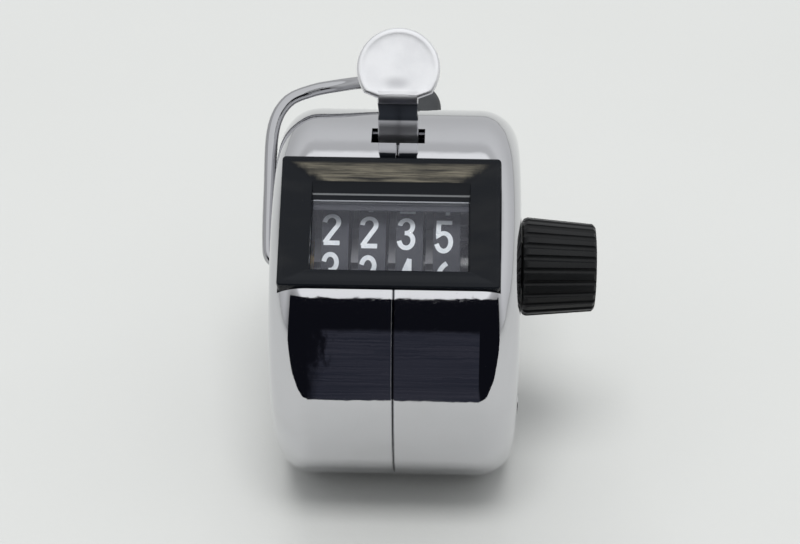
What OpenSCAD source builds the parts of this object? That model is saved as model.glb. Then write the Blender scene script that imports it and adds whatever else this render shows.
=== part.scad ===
// Hand tally counter: a drawn two-piece casing with four number wheels on a reset shaft,
// a sprung thumb lever that drives them through a comb pawl, and a wire finger ring.
// X runs along the wheel axis with the reset knob at +X, the window faces -Y and up, Z is up.
// The origin is the middle of the flat foot of the casing. All sizes are in millimetres.

/* [Casing] */
// Outer radius of the round casing
casing_r = 23; // [22.5:0.1:23.5]
// Half of the casing's width, from the seam to a side face
casing_half_w = 14.8; // [14.6:0.1:15.4]
// Thickness of the pressed sheet
wall = 0.8; // [0.6:0.1:0.9]
// Radius of the round edge between rim and side faces
casing_edge_r = 4.8; // [4.4:0.1:5]
// Half of the depth of the flat foot
foot_half_y = 7.5; // [6:0.5:8]

/* [Display] */
// Direction in which the window faces, in degrees above the horizon
window_angle = 56.5; // [50:0.5:60]
// Sideways place of the middle of the display
display_x = -0.6; // [-0.8:0.1:0]
// Width of the bezel
bezel_w = 25.8; // [25:0.1:26]
// Height of the bezel along the casing
bezel_h = 16.4; // [16:0.1:17]
// Width of the window
window_w = 18.3; // [17.6:0.1:18.6]
// Height of the window
window_h = 8.9; // [8:0.1:9.2]

/* [Number wheels] */
// Outer radius of a number wheel
wheel_r = 8.2; // [8:0.1:8.4]
// Distance from one wheel to the next
wheel_pitch = 4.41; // [4.4:0.01:4.45]
// Distance from the middle of the casing to the wheel axis
axle_offset = 9.26; // [9.1:0.02:9.3]
// Radius of the reset shaft
shaft_r = 1.5; // [1.3:0.1:1.6]
// Number of teeth, and of digits, on a wheel
teeth = 10; // [10:1:10]

/* [Reset knob] */
// Radius of the knob next to the casing
knob_r = 6; // [5.6:0.1:6.4]
// Radius of the knob at its outer end
knob_tip_r = 5.3; // [5:0.1:5.5]
// Length of the knob
knob_l = 8.9; // [7:0.1:10]
// Number of grooves round the knob
knob_grooves = 24; // [18:1:28]

/* [Thumb lever] */
// Radius of the thumb pad
pad_r = 4.9; // [4.5:0.1:5.2]
// Width of the lever's neck
neck_w = 4.8; // [4.4:0.1:5]
// Thickness of the lever's sheet
lever_t = 0.9; // [0.8:0.1:1]

/* [Finger ring] */
// Diameter of the ring's wire
wire_d = 1.65; // [1.4:0.05:1.7]
// How far the ring stands out behind the middle of the casing
ring_reach = 40.5; // [39:0.5:42]

/* [Hidden] */

$fn = 64;

// Height of the middle of the casing above the foot.
centre_z = sqrt(casing_r * casing_r - foot_half_y * foot_half_y);
inner_r = casing_r - wall;
inner_half_w = casing_half_w - wall;
// Bevel along the open edge of each half.
seam_bevel = 0.2;
// Lip inside the right half that the left half slips over.
lip_t = 0.6;
lip_reach = 1.5;
lip_root = 0.8;
lip_root_x = 0.3;
// Running clearance of pins and screws, and a length longer than anything here.
fit = 0.05;
big = 60;

// Places in the side view are [y, z] from the middle of the casing.
axle = [-axle_offset * cos(window_angle), axle_offset * sin(window_angle)];
lever_pivot = [1.5, 18];
pawl_pivot = [6.8, -3];
arm_knees = [[10.8, 12], [11.2, 2]];
pillar_places = [[18, 6], [12, -14], [-10, -16]];
post_places = [[-10, -9.5], [12.5, 4]];
detent_place = [-14, -8];

// Heights above the middle of the casing along the display's own direction.
bezel_face = 22.3;
bezel_back = 19.45;
lens_back = 19.95;
lens_t = 0.75;
window_drop = -1;
rim_w = 0.9;
bezel_flange_w = 18;
bezel_flange_over = 0.9;
bezel_flange_t = 0.5;
lens_ledge = 0.7;
// How far the bezel's middle stands above the display's.
bezel_up = 0.2;
// Height of the gap that the seam's lip leaves for the bezel.
lip_gap_h = bezel_h + 2 * (bezel_flange_over + bezel_up) + 0.6;

// Chassis plates, between which everything turns.
plate_t = 1;
plate_r = 20.5;
left_plate_x = -12.2;
right_plate_x = 9.4;
left_gap_x = left_plate_x + plate_t;
plates_l = right_plate_x + plate_t - left_plate_x + 0.6;
plate_front = 18.8;
plate_floor = 2.2;
pillar_r = 1;
pillar_waist_r = 1.5;
// How far pillars and pins stand out of the plates.
pillar_end = 0.3;
screw_r = 0.8;
screw_head_r = 1.5;
screw_head_t = 0.4;
screw_slot = 0.4;
right_screw_l = 3.2;
left_screw_l = 2.2;
post_r = 2;

// Number wheels: the drum carries the figures and the ratchet stands on its left.
drum_w = 3.2;
ratchet_w = 0.9;
ratchet_r = 6.9;
ratchet_root_r = 5.9;
hub_r = 3.2;
recess_r = 6.6;
recess_d = 1.8;
stud_y = 5.2;
stud_r = 0.45;
tooth_undercut = 7;
pawl_eye_r = 1.1;
pawl_w = 0.8;
pawl_l = 3;
pawl_slot = 1.2;
wheel_x = [for (i = [0:3]) display_x + (1.5 - i) * wheel_pitch];

// Reset shaft and what holds it.
bush_r = 2.2;
bush_flange_r = 2.8;
bush_flange_t = 0.8;
bush_end = 0.5;
left_bush_l = 1.35;
shaft_end_x = -12.9;
clip_x = -12.75;
clip_t = 0.3;
clip_r = 2.5;
clip_mouth = 1.6;
clip_groove_r = 1.1;
collar_r = 2.6;
collar_gap = 0.1;
keyway_w = 0.8;
keyway_d = 0.5;
washer_t = 0.5;
knob_x = casing_half_w + 0.3;
knob_boss_r = 2.6;
knob_boss_x = right_plate_x + plate_t + bush_flange_t + washer_t + 0.2;
knob_edge_r = 0.8;
knob_cap_t = 1.2;
knob_groove_r = 0.42;
knob_groove_out = 0.12;
knob_tip_bevel = 0.3;

// Thumb lever and yoke.
pin_r = 1;
barrel_r = 1.9;
arm_w = 2.6;
arm_t = 1;
knee_r = arm_w / 2 + 0.05;
arm_eye_r = 1.7;
left_arm_x = -11;
right_arm_x = 6.2;
web_w = 6.4;
web_t = 0.9;
web_top = 21.4;
slot_half_w = 3.2;
slot_y = [-1.65, 1.7];
neck_front_y = -0.9;
leg_foot = 19.3;
neck_bend_z = 25.6;
pad_fold = [-1.6, 28.95];
pad_tilt = 50;
pad_reach = 3.55;
// Angle below the pad's middle at which its sides run down to the fold.
pad_shoulder = 35;
bend_r = lever_t / 2 + 0.02;
rivet_r = 0.5;
rivet_head_r = 0.7;
rivet_head_t = 0.35;
rivet_x = 1.4;
rivet_z = 20.65;

// Comb pawl.
pawl_pin_r = 0.9;
pawl_hub_r = 1.55;
pawl_tip_r = 7.5;
pawl_tip_angle = 25;
finger_w = 0.7;
finger_t = 1;
pawl_hub_x = -9.8;
pawl_hub_l = 14.6;

// Detent comb.
detent_bar_w = 2.4;
leaf_t = 0.3;
leaf_root_r = 14;
leaf_tip_r = 7.2;
leaf_x = -10.3;
leaf_l = 15.6;
leaf_screw_x = [-7, 1.7];

// Coil springs: radius, pitch and turns of the coil, and the wire's own radius.
lever_coil = [1.45, 0.45, 3];
lever_coil_wire = 0.19;
pawl_coil = [1.2, 0.27, 3];
pawl_coil_wire = 0.12;
coil_gap = 0.3;
wire_sides = 12;
coil_sides = 8;
route_steps = 4;

// Finger ring: the wire's route is [x, y, z] from the middle of the casing.
wire_r = wire_d / 2;
side_x = -casing_half_w - 0.2 - wire_r;
arch_x = 1.6;
clamp_angle = 150;
clamp_r = 3.35;
clamp_dome = 26.6;
clamp_wire = 27.5;
clamp_spigot_r = 1.3;
clamp_spigot_from = 20.6;
clamp_spigot_l = 4;
tail_angle = 208;
nut_r = 2.2;
nut_t = 0.5;
nut_from = 21;

// One turned into the casing's frame, as a point of the side view at a radius and an angle
// counted from the front over the top.
function round_casing(r, a) = [-r * cos(a), r * sin(a)];
function ring_point(x, p) = [x, p[0], p[1]];

clamp_mid = round_casing(clamp_wire, clamp_angle);
clamp_way = [sin(clamp_angle), cos(clamp_angle)];
clamp_half = 3.3;
tail_in = round_casing(casing_r - 2.6, tail_angle);
tail_out = round_casing(casing_r + 4, tail_angle);
ring_route = [
  [-13.4, axle[0], axle[1]],
  [side_x + 1.4, axle[0], axle[1]],
  [side_x + 0.3, axle[0] + 0.4, axle[1] + 0.5],
  [side_x, axle[0] + 1.8, axle[1] + 2],
  [side_x, 0.7, 14.2],
  [side_x + 0.1, 6.4, 19.4],
  [-14.2, 9.2, 21.9],
  [-11.2, 10.9, 22.7],
  [-7.6, 13, 22.4],
  [-4.1, 16.2, 21.2],
  [-1.3, 18.9, 20],
  [0.9, 20.9, 18.7],
  ring_point(arch_x, clamp_mid - clamp_half * clamp_way),
  ring_point(arch_x, clamp_mid),
  ring_point(arch_x, clamp_mid + clamp_half * clamp_way),
  [arch_x, 27, 8.9],
  [arch_x, 31, 8.3],
  [arch_x, ring_reach - 4, 6.2],
  [arch_x, ring_reach - wire_r, -1],
  [arch_x, ring_reach - 5, -9.5],
  [arch_x, ring_reach - 12, -13.5],
  ring_point(arch_x, tail_out),
  ring_point(arch_x, tail_in)
];

// ---- helpers ----

// Children's x and y become the side view's y and z, and they are drawn out along X.
module across(x, length) {
  translate([x, 0, 0]) rotate([90, 0, 90]) linear_extrude(length) children();
}

module rod(x, length, r) {
  translate([x, 0, 0]) rotate([0, 90, 0]) cylinder(h = length, r = r);
}

// A rod along X at a place in the side view.
module rod_at(place, x, length, r) {
  translate([0, place[0], place[1]]) rod(x, length, r);
}

module in_casing() {
  translate([0, 0, centre_z]) children();
}

module on_axle() {
  in_casing() translate([0, axle[0], axle[1]]) children();
}

// Frame of the display: its own -Y points out of the window, and its Z runs up the bezel.
module facing_window() {
  in_casing() rotate([-window_angle, 0, 0]) children();
}

// A flat bar between two places of the side view.
module bar(a, b, w) {
  d = b - a;
  translate(a) rotate(atan2(d[1], d[0])) translate([0, -w / 2]) square([norm(d), w]);
}

module eye(place, r) {
  translate(place) circle(r);
}

// Radial frame at an angle round the casing: its Z points outwards.
module pointing(angle, x) {
  translate([x, 0, 0]) rotate([90 - angle, 0, 0]) mirror([0, 1, 0]) children();
}

// Points of a smooth curve through a list of places.
function curve_point(p, i, t) =
  let (a = p[max(i - 1, 0)], b = p[i], c = p[i + 1], d = p[min(i + 2, len(p) - 1)])
  0.5 * ((2 * b) + (c - a) * t + (2 * a - 5 * b + 4 * c - d) * t * t
    + (3 * b - a - 3 * c + d) * t * t * t);
function smooth_route(p, steps) = concat(
  [for (i = [0:len(p) - 2]) for (s = [0:steps - 1]) curve_point(p, i, s / steps)],
  [p[len(p) - 1]]);

// A round wire swept along a route; every ring of points is turned from the one before it.
function unit(v) = v / norm(v);
function tangents(p) = [for (i = [0:len(p) - 1])
  unit(p[min(i + 1, len(p) - 1)] - p[max(i - 1, 0)])];
function side_steps(t, i, s) = i == len(t) ? [] :
  let (n = unit(s - (s * t[i]) * t[i])) concat([n], side_steps(t, i + 1, n));
module wire(p, r, sides) {
  t = tangents(p);
  n = side_steps(t, 0, abs(t[0][1]) < 0.9 ? [0, 1, 0] : [0, 0, 1]);
  rings = [for (i = [0:len(p) - 1]) for (k = [0:sides - 1])
    p[i] + r * (cos(360 * k / sides) * n[i] + sin(360 * k / sides) * cross(t[i], n[i]))];
  walls = [for (i = [0:len(p) - 2]) for (k = [0:sides - 1]) let (m = (k + 1) % sides)
    [i * sides + k, i * sides + m, (i + 1) * sides + m, (i + 1) * sides + k]];
  start = [for (k = [sides - 1:-1:0]) k];
  finish = [for (k = [0:sides - 1]) (len(p) - 1) * sides + k];
  polyhedron(points = rings, faces = concat([start], walls, [finish]), convexity = 8);
}

// A coil of round wire along X, with a straight leg at each end, about the origin.
function coil_route(coil, from, leg_a, leg_b) = let (r = coil[0], pitch = coil[1], turns = coil[2])
  concat([[0, r * cos(from), r * sin(from)] + leg_a],
  [for (k = [0:16 * turns]) let (a = from + k * 22.5) [pitch * k / 16, r * cos(a), r * sin(a)]],
  [[pitch * turns, r * cos(from + 360 * turns), r * sin(from + 360 * turns)] + leg_b]);

// ---- casing ----

// Half of the casing's section, as radius and distance from the seam.
module shell_section(r, half_w, edge_r, bevel) {
  polygon([[0, 0], [r - bevel, 0], [r, bevel], [r, half_w - edge_r],
    [r - edge_r, half_w - edge_r], [r - edge_r, half_w], [0, half_w]]);
  intersection() {
    translate([r - edge_r, half_w - edge_r]) circle(edge_r);
    square([r, half_w]);
  }
}

module half_shell() {
  difference() {
    intersection() {
      rotate([0, 90, 0]) rotate_extrude($fn = 128)
        shell_section(casing_r, casing_half_w, casing_edge_r, seam_bevel);
      translate([-1, -big, -centre_z]) cube([big, 2 * big, 2 * big]);
    }
    intersection() {
      rotate([0, 90, 0]) translate([0, 0, -1]) rotate_extrude($fn = 128)
        shell_section(inner_r, inner_half_w + 1, casing_edge_r - wall, 0);
      translate([-2, -big, wall - centre_z]) cube([big, 2 * big, 2 * big]);
    }
  }
}

module window_hole() {
  rotate([-window_angle, 0, 0])
    translate([display_x - bezel_w / 2 - fit, -big, bezel_up - bezel_h / 2 - fit])
      cube([bezel_w + 2 * fit, big - plate_front, bezel_h + 2 * fit]);
}

module lever_hole() {
  translate([-slot_half_w, slot_y[0], plate_r])
    cube([2 * slot_half_w, slot_y[1] - slot_y[0], big]);
}

module screw_holes(x) {
  for (p = post_places) rod_at(p, x, 2 * wall, screw_r + fit);
}

module left_casing() {
  color("gainsboro") in_casing() difference() {
    mirror([1, 0, 0]) half_shell();
    window_hole();
    lever_hole();
    screw_holes(-casing_half_w - wall / 2);
    rod_at(axle, -casing_half_w - 1, 2 * wall + 1, wire_r + fit);
  }
}

// The lip that tucks under the left half keeps the two halves in line.
module seam_lip() {
  difference() {
    rotate([0, 90, 0]) rotate_extrude($fn = 128) {
      translate([inner_r - lip_t, -lip_reach]) square([lip_t - fit, lip_reach + lip_root]);
      translate([inner_r - lip_t, lip_root_x]) square([lip_t + 2 * fit, lip_root - lip_root_x]);
    }
    rotate([-window_angle, 0, 0]) translate([-big, -big, -lip_gap_h / 2])
      cube([2 * big, big, lip_gap_h]);
    translate([-big, -big, -big - centre_z + wall + lip_t / 3]) cube([2 * big, 2 * big, big]);
  }
}

module right_casing() {
  color("gainsboro") in_casing() difference() {
    union() {
      half_shell();
      seam_lip();
    }
    window_hole();
    lever_hole();
    screw_holes(casing_half_w - 1.5 * wall);
    rod_at(axle, casing_half_w - 1.5 * wall, 3 * wall, knob_boss_r + 4 * fit);
    pointing(clamp_angle, arch_x) cylinder(h = big, r = clamp_spigot_r + fit);
    pointing(tail_angle, arch_x) cylinder(h = big, r = wire_r + 2 * fit);
  }
}

// ---- window ----

module window_bezel() {
  color("#15161a") facing_window() translate([display_x, 0, 0]) difference() {
    union() {
      translate([-bezel_w / 2, -bezel_face, bezel_up - bezel_h / 2])
        cube([bezel_w, bezel_face - bezel_back, bezel_h]);
      translate([-bezel_flange_w / 2, -bezel_back - bezel_flange_t,
          bezel_up - bezel_h / 2 - bezel_flange_over])
        cube([bezel_flange_w, bezel_flange_t, bezel_h + 2 * bezel_flange_over]);
    }
    hull() {
      translate([-bezel_w / 2 + rim_w, -bezel_face - 1, bezel_up - bezel_h / 2 + rim_w])
        cube([bezel_w - 2 * rim_w, 1, bezel_h - 2 * rim_w]);
      translate([-window_w / 2, -lens_back - lens_t - 0.1, window_drop - window_h / 2])
        cube([window_w, 0.1, window_h]);
    }
    translate([-window_w / 2, -bezel_face, window_drop - window_h / 2])
      cube([window_w, bezel_face, window_h]);
    translate([-window_w / 2 - lens_ledge, -lens_back - lens_t,
        window_drop - window_h / 2 - lens_ledge])
      cube([window_w + 2 * lens_ledge, lens_t + 1, window_h + 2 * lens_ledge]);
  }
}

module window_lens() {
  edge = lens_ledge - fit;
  color("lightsteelblue", 0.35) facing_window()
    translate([display_x - window_w / 2 - edge, -lens_back - lens_t,
        window_drop - window_h / 2 - edge])
      cube([window_w + 2 * edge, lens_t, window_h + 2 * edge]);
}

// ---- chassis ----

module plate_outline() {
  difference() {
    circle(plate_r, $fn = 96);
    rotate(-window_angle) translate([-big - plate_front, -big]) square([big, 2 * big]);
    translate([-big, -big - centre_z + plate_floor]) square([2 * big, big]);
    eye(axle, bush_r);
    eye(lever_pivot, pin_r);
    for (p = pillar_places) eye(p, pillar_r);
    eye(detent_place, pillar_r);
  }
}

module left_side_plate() {
  color("silver") in_casing() across(left_plate_x, plate_t) plate_outline();
}

module right_side_plate() {
  color("silver") in_casing() across(right_plate_x, plate_t) plate_outline();
}

module frame_pillars() {
  color("darkgray") in_casing() for (p = pillar_places) union() {
    rod_at(p, left_gap_x, right_plate_x - left_gap_x, pillar_waist_r);
    rod_at(p, left_plate_x - pillar_end, plates_l, pillar_r);
  }
}

module casing_posts() {
  color("darkgray") in_casing() for (p = post_places) {
    difference() {
      rod_at(p, -inner_half_w, left_plate_x + inner_half_w, post_r);
      rod_at(p, -inner_half_w - 1, big, screw_r);
    }
    difference() {
      rod_at(p, right_plate_x + plate_t, inner_half_w - right_plate_x - plate_t, post_r);
      rod_at(p, 0, big, screw_r);
    }
  }
}

// One screw along X with its head outwards at x = 0.
module side_screw(length) {
  difference() {
    rod(0, screw_head_t, screw_head_r);
    translate([screw_head_t / 2, -screw_head_r - 1, -screw_slot / 2])
      cube([1, 2 * screw_head_r + 2, screw_slot]);
  }
  rod(-length, length, screw_r);
}

module casing_screws() {
  color("silver") in_casing() for (p = post_places) translate([0, p[0], p[1]]) {
    translate([casing_half_w, 0, 0]) side_screw(right_screw_l);
    translate([-casing_half_w, 0, 0]) mirror([1, 0, 0]) side_screw(left_screw_l);
  }
}

// ---- reset shaft ----

module left_shaft_bush() {
  color("goldenrod") on_axle() difference() {
    union() {
      rod(left_plate_x - 0.15, plate_t + 0.15 + bush_end, bush_r);
      rod(left_gap_x, left_bush_l, bush_flange_r);
    }
    rod(-big, 2 * big, shaft_r + fit);
  }
}

module right_shaft_bush() {
  color("goldenrod") on_axle() difference() {
    union() {
      rod(right_plate_x, plate_t + bush_end, bush_r);
      rod(right_plate_x + plate_t, bush_flange_t, bush_flange_r);
    }
    rod(-big, 2 * big, shaft_r + fit);
  }
}

module reset_shaft() {
  color("lightgray") on_axle() difference() {
    union() {
      rod(shaft_end_x, knob_x + knob_l - knob_cap_t - shaft_end_x, shaft_r);
      rod(wheel_x[0] + drum_w / 2 + collar_gap,
        right_plate_x - wheel_x[0] - drum_w / 2 - 2 * collar_gap, collar_r);
    }
    translate([wheel_x[3] - drum_w / 2 - ratchet_w, -keyway_w / 2, shaft_r - keyway_d])
      cube([4 * wheel_pitch - collar_gap, keyway_w, keyway_d + 1]);
    difference() {
      rod(clip_x, clip_t, 2 * shaft_r);
      rod(clip_x - 1, clip_t + 2, clip_groove_r);
    }
  }
}

module shaft_clip() {
  color("dimgray") on_axle() across(clip_x + 0.02, clip_t - 0.04) difference() {
    circle(clip_r);
    circle(clip_groove_r);
    translate([-clip_mouth / 2, -big]) square([clip_mouth, big]);
  }
}

module friction_washer() {
  color("gray") on_axle() difference() {
    rod(knob_boss_x - washer_t - 0.1, washer_t, collar_r);
    rod(0, big, shaft_r + fit);
  }
}

module reset_knob() {
  slope = atan((knob_r - knob_tip_r) / knob_l);
  color("#1b1c1f") on_axle() difference() {
    union() {
      rod(knob_boss_x, knob_x + 1 - knob_boss_x, knob_boss_r);
      translate([knob_x, 0, 0]) rotate([0, 90, 0]) rotate_extrude($fn = 96) {
        polygon([[0, 0], [knob_r - knob_edge_r, 0], [knob_r - knob_edge_r, knob_edge_r],
          [knob_r, knob_edge_r], [knob_tip_r + knob_tip_bevel * tan(slope), knob_l - knob_tip_bevel],
          [knob_tip_r - knob_tip_bevel, knob_l], [0, knob_l]]);
        translate([knob_r - knob_edge_r, knob_edge_r]) circle(knob_edge_r);
      }
    }
    rod(0, knob_x + knob_l - knob_cap_t, shaft_r);
    for (k = [0:knob_grooves - 1]) rotate([360 * k / knob_grooves, 0, 0])
      translate([knob_x, 0, knob_r + knob_groove_out]) rotate([0, 90 + slope, 0])
        translate([0, 0, -1]) cylinder(h = knob_l + 2, r = knob_groove_r, $fn = 24);
  }
}

// ---- number wheels ----

module number_wheel(i) {
  color("#25272b") on_axle() translate([wheel_x[i] - drum_w / 2, 0, 0]) difference() {
    union() {
      difference() {
        rod(0, drum_w, wheel_r, $fn = 128);
        difference() {
          rod(-1, recess_d + 1, recess_r);
          rod(-2, recess_d + 3, hub_r);
        }
      }
      translate([0, stud_y, 0]) rod(0.1, recess_d, stud_r);
    }
    rod(-1, drum_w + 2, shaft_r + fit);
    translate([-1, 0, -pawl_slot / 2]) cube([recess_d + 1, hub_r + 1, pawl_slot]);
  }
}

module number_ratchet(i) {
  corner = 360 / teeth;
  color("dimgray") on_axle() across(wheel_x[i] - drum_w / 2 - ratchet_w, ratchet_w)
    difference() {
      polygon([for (k = [0:2 * teeth - 1]) let (
          tip = k % 2 == 0, a = corner * floor(k / 2) + (tip ? 0 : tooth_undercut),
          r = tip ? ratchet_r : ratchet_root_r)
        [r * cos(a), r * sin(a)]]);
      circle(shaft_r + fit);
    }
}

// The small pawl inside a wheel that the shaft's keyway picks up when the knob is turned.
module reset_pawl(i) {
  color("peru") on_axle() across(wheel_x[i] - drum_w / 2 + 0.3, pawl_w) difference() {
    union() {
      translate([stud_y, 0]) circle(pawl_eye_r);
      translate([shaft_r + 2 * fit, -pawl_w / 2]) square([pawl_l, pawl_w]);
    }
    translate([stud_y, 0]) circle(stud_r + fit);
  }
}

// ---- thumb lever ----

// Frame of the thumb pad: its Z points out of the pad's face, its Y up the pad from the fold.
module on_pad() {
  translate([0, pad_fold[0], pad_fold[1]]) rotate([pad_tilt, 0, 0]) children();
}

module thumb_lever() {
  lean = [neck_front_y + lever_t / 2, neck_bend_z] - pad_fold;
  color("silver") in_casing() union() {
    translate([-neck_w / 2, neck_front_y, leg_foot])
      cube([neck_w, lever_t, neck_bend_z - leg_foot]);
    across(-neck_w / 2, neck_w) {
      bar(pad_fold, pad_fold + lean, lever_t);
      eye(pad_fold + lean, bend_r);
      eye(pad_fold, bend_r);
    }
    on_pad() translate([0, 0, -lever_t / 2]) {
      translate([0, pad_reach, 0]) cylinder(h = lever_t, r = pad_r, $fn = 96);
      linear_extrude(lever_t) polygon([[-neck_w / 2, 0], [neck_w / 2, 0],
        [pad_r * cos(pad_shoulder), pad_reach - pad_r * sin(pad_shoulder)],
        [-pad_r * cos(pad_shoulder), pad_reach - pad_r * sin(pad_shoulder)]]);
    }
  }
}

module arm() {
  difference() {
    union() {
      bar(lever_pivot, arm_knees[0], arm_w);
      bar(arm_knees[0], arm_knees[1], arm_w);
      bar(arm_knees[1], pawl_pivot, arm_w);
      eye(arm_knees[0], knee_r);
      eye(arm_knees[1], knee_r);
      eye(pawl_pivot, arm_eye_r);
      eye(lever_pivot, barrel_r);
    }
    eye(lever_pivot, pin_r + fit);
    eye(pawl_pivot, pawl_pin_r);
  }
}

module lever_yoke() {
  color("darkgray") in_casing() difference() {
    union() {
      across(left_arm_x, arm_t) arm();
      across(right_arm_x, arm_t) arm();
      rod_at(lever_pivot, left_arm_x + arm_t / 2, right_arm_x - left_arm_x, barrel_r);
      translate([-web_w / 2, 0, lever_pivot[1]]) cube([web_w, web_t, web_top - lever_pivot[1]]);
    }
    rod_at(lever_pivot, left_arm_x - 1, big, pin_r + fit);
    for (s = [-1, 1]) translate([s * rivet_x, -1, rivet_z]) rotate([-90, 0, 0])
      cylinder(h = 3, r = rivet_r);
  }
}

module lever_rivets() {
  color("gray") in_casing() for (s = [-1, 1]) translate([s * rivet_x, 0, rivet_z])
    rotate([-90, 0, 0]) {
      cylinder(h = web_t, r = rivet_r);
      translate([0, 0, web_t]) cylinder(h = rivet_head_t, r = rivet_head_r);
    }
}

module lever_pivot_pin() {
  color("lightgray") in_casing()
    rod_at(lever_pivot, left_plate_x - pillar_end, plates_l, pin_r);
}

module lever_return_spring() {
  color("slategray") in_casing()
    translate([right_arm_x + arm_t + coil_gap, lever_pivot[0], lever_pivot[1]])
      wire(coil_route(lever_coil, 0, [0, 1.2, -4], [0, 3.4, -1.6]), lever_coil_wire, coil_sides);
}

// ---- comb pawl ----

pawl_tip = axle + pawl_tip_r * [sin(pawl_tip_angle), -cos(pawl_tip_angle)];

module drive_pawl() {
  reach = norm(pawl_tip - pawl_pivot);
  d = pawl_tip - pawl_pivot;
  color("dimgray") in_casing() difference() {
    union() {
      rod_at(pawl_pivot, pawl_hub_x, pawl_hub_l, pawl_hub_r);
      for (i = [0:3]) translate([wheel_x[i] - drum_w / 2 - ratchet_w / 2, pawl_pivot[0], pawl_pivot[1]])
        rotate([atan2(d[1], d[0]), 0, 0]) translate([-finger_w / 2, 0, 0])
          cube([finger_w, reach, finger_t]);
    }
    rod_at(pawl_pivot, -big, 2 * big, pawl_pin_r + fit);
  }
}

module pawl_pin() {
  color("lightgray") in_casing()
    rod_at(pawl_pivot, left_arm_x - 0.1, right_arm_x + arm_t - left_arm_x + 0.2, pawl_pin_r);
}

module pawl_spring() {
  color("slategray") in_casing()
    translate([pawl_hub_x + pawl_hub_l + coil_gap, pawl_pivot[0], pawl_pivot[1]])
      wire(coil_route(pawl_coil, 90, [0, -2.6, 0.4], [0, 3, 2.4]), pawl_coil_wire, coil_sides);
}

// ---- detent ----

// Frame of the detent comb: its Z points from the bar to the wheel axis.
module on_detent() {
  d = axle - detent_place;
  in_casing() translate([0, axle[0], axle[1]]) rotate([atan2(d[1], d[0]) - 90, 0, 0]) children();
}

module detent_bar() {
  d = norm(axle - detent_place);
  color("darkgray") difference() {
    union() {
      on_detent() translate([left_gap_x, -detent_bar_w / 2, -d - detent_bar_w / 2])
        cube([right_plate_x - left_gap_x, detent_bar_w, detent_bar_w]);
      in_casing() rod_at(detent_place, left_plate_x - pillar_end, plates_l, pillar_r);
    }
    on_detent() for (x = leaf_screw_x) translate([x, 0, -d]) rotate([90, 0, 0])
      cylinder(h = big, r = rivet_r);
  }
}

// The comb lies on the bar's far side, out of the drive pawl's way.
module detent_spring() {
  d = norm(axle - detent_place);
  color("slategray") on_detent() difference() {
    union() {
      translate([leaf_x, -detent_bar_w / 2 - leaf_t, -d - 1])
        cube([leaf_l, leaf_t, d + 1 - leaf_root_r]);
      for (i = [0:3]) translate([wheel_x[i] - drum_w / 2 - ratchet_w / 2 - finger_w / 2,
          -detent_bar_w / 2 - leaf_t, -leaf_root_r - 0.1])
        cube([finger_w, leaf_t, leaf_root_r + 0.1 - leaf_tip_r]);
    }
    for (x = leaf_screw_x) translate([x, 0, -d]) rotate([90, 0, 0])
      cylinder(h = big, r = rivet_r + fit);
  }
}

module detent_screws() {
  d = norm(axle - detent_place);
  color("silver") on_detent() for (x = leaf_screw_x) translate([x, 0, -d]) rotate([90, 0, 0]) {
    cylinder(h = detent_bar_w / 2 + leaf_t, r = rivet_r);
    translate([0, 0, detent_bar_w / 2 + leaf_t]) cylinder(h = rivet_head_t, r = rivet_head_r);
  }
}

// ---- finger ring ----

module finger_ring() {
  color("gainsboro") in_casing() wire(smooth_route(ring_route, route_steps), wire_r, wire_sides);
}

module ring_clamp() {
  color("#2b2e33") in_casing() pointing(clamp_angle, arch_x) difference() {
    union() {
      difference() {
        rotate_extrude($fn = 96) {
          square([clamp_r, clamp_dome]);
          intersection() {
            translate([0, clamp_dome]) circle(clamp_r);
            square([big, big]);
          }
        }
        rod(-big / 2, big, casing_r, $fn = 128);
      }
      translate([0, 0, clamp_spigot_from]) cylinder(h = clamp_spigot_l, r = clamp_spigot_r);
    }
    translate([0, -big / 2, clamp_wire]) rotate([-90, 0, 0])
      cylinder(h = big, r = wire_r + 2 * fit);
  }
}

module push_nut(r) {
  difference() {
    cylinder(h = nut_t, r = nut_r);
    translate([0, 0, -1]) cylinder(h = nut_t + 2, r = r);
  }
}

module ring_push_nuts() {
  color("dimgray") {
    on_axle() rotate([0, 90, 0]) translate([0, 0, -inner_half_w + 0.05]) push_nut(wire_r + 0.02);
    in_casing() pointing(tail_angle, arch_x) translate([0, 0, nut_from]) push_nut(wire_r + 0.02);
    in_casing() pointing(clamp_angle, arch_x) translate([0, 0, nut_from]) push_nut(clamp_spigot_r);
  }
}

// ---- the assembly ----

left_casing();
right_casing();
window_bezel();
window_lens();
left_side_plate();
right_side_plate();
frame_pillars();
casing_posts();
casing_screws();
left_shaft_bush();
right_shaft_bush();
reset_shaft();
shaft_clip();
friction_washer();
reset_knob();
number_wheel(0);  // units_wheel
number_wheel(1);  // tens_wheel
number_wheel(2);  // hundreds_wheel
number_wheel(3);  // thousands_wheel
number_ratchet(0);  // units_ratchet
number_ratchet(1);  // tens_ratchet
number_ratchet(2);  // hundreds_ratchet
number_ratchet(3);  // thousands_ratchet
reset_pawl(0);  // units_reset_pawl
reset_pawl(1);  // tens_reset_pawl
reset_pawl(2);  // hundreds_reset_pawl
reset_pawl(3);  // thousands_reset_pawl
thumb_lever();
lever_yoke();
lever_rivets();
lever_pivot_pin();
lever_return_spring();
drive_pawl();
pawl_pin();
pawl_spring();
detent_bar();
detent_spring();
detent_screws();
finger_ring();
ring_clamp();
ring_push_nuts();
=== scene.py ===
# %% [markdown]
# # A hand tally counter, finished in Blender
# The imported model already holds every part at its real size: the two casing halves, the
# number wheels on their shaft, the thumb lever, the finger ring and the works inside.
# Here each of them gets the finish that its maker gave it. A few visible parts whose
# edges need more care are built again, in the very same place.

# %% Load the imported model
import math

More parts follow.
